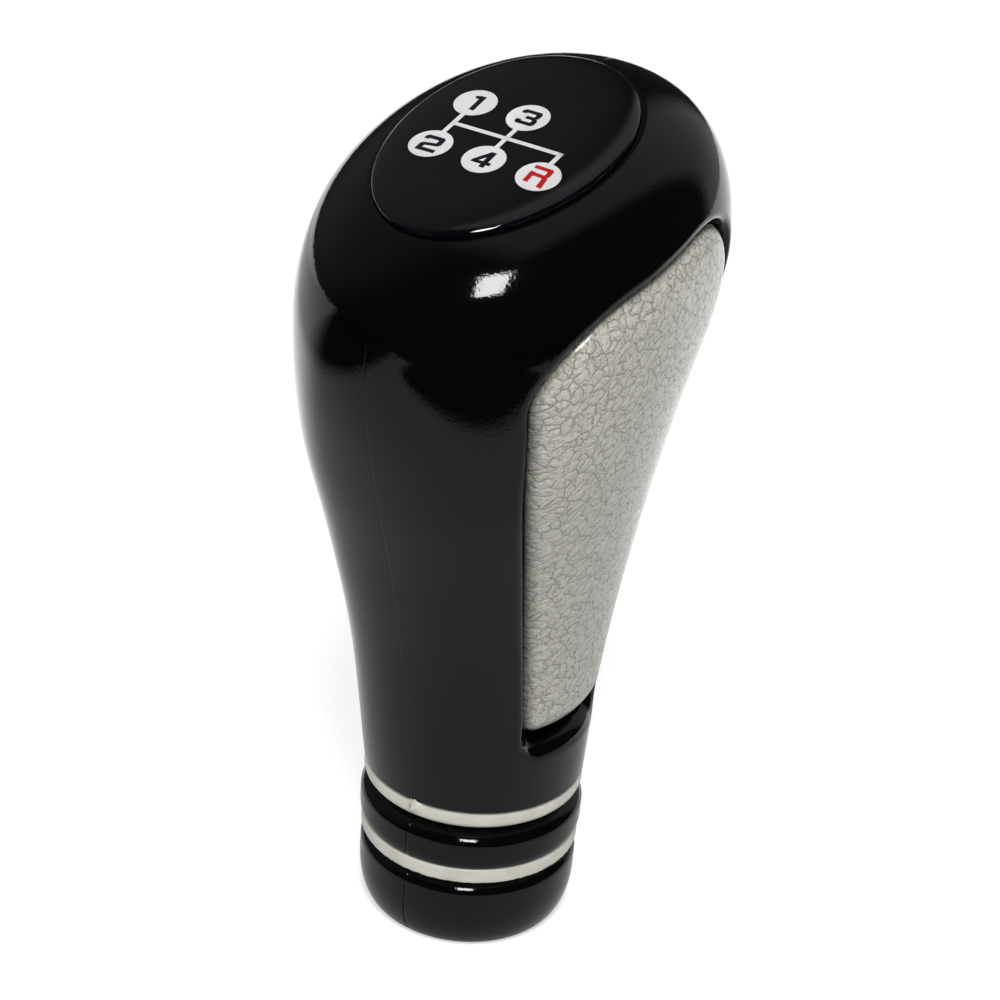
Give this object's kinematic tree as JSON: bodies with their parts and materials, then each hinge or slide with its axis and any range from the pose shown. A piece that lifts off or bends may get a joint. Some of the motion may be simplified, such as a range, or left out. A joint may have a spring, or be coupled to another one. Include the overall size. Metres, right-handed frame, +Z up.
{
  "type": "gear shift knob",
  "caption": "Pear-shaped gear shift knob with a round neck, set-in leather-grain side panels, neck rings and a domed shift pattern badge.",
  "frame": {"origin": "middle of the lever socket's mouth, in the plane of the base", "axes": "+Z up the lever, +Y to the front of the car, away from the driver, +X to the driver's right"},
  "size_m": [0.045, 0.0556, 0.1076],
  "materials": {
    "body_plastic": "piano black gloss",
    "ring_rubber": "matte light grey",
    "badge_plastic": "printed black",
    "pattern_print": "white print",
    "clear_resin": "clear domed resin",
    "plate_plastic": "moulded, hidden",
    "grey_leather": "light grey leather grain",
    "insert_metal": "turned",
    "screw_steel": "plain steel"
  },
  "bodies": {
    "root": {"left_shell": "body_plastic", "right_shell": "body_plastic", "lower_ring": "ring_rubber", "upper_ring": "ring_rubber", "badge_plate": "badge_plastic", "shift_pattern": "pattern_print", "badge_cover": "clear_resin", "left_panel_plate": "plate_plastic", "right_panel_plate": "plate_plastic", "left_panel_skin": "grey_leather", "right_panel_skin": "grey_leather", "lever_insert": "insert_metal", "left_grub_screw": "screw_steel", "right_grub_screw": "screw_steel", "low_body_screw": "screw_steel", "rear_body_screw": "screw_steel", "front_body_screw": "screw_steel"}
  },
  "joints": []
}
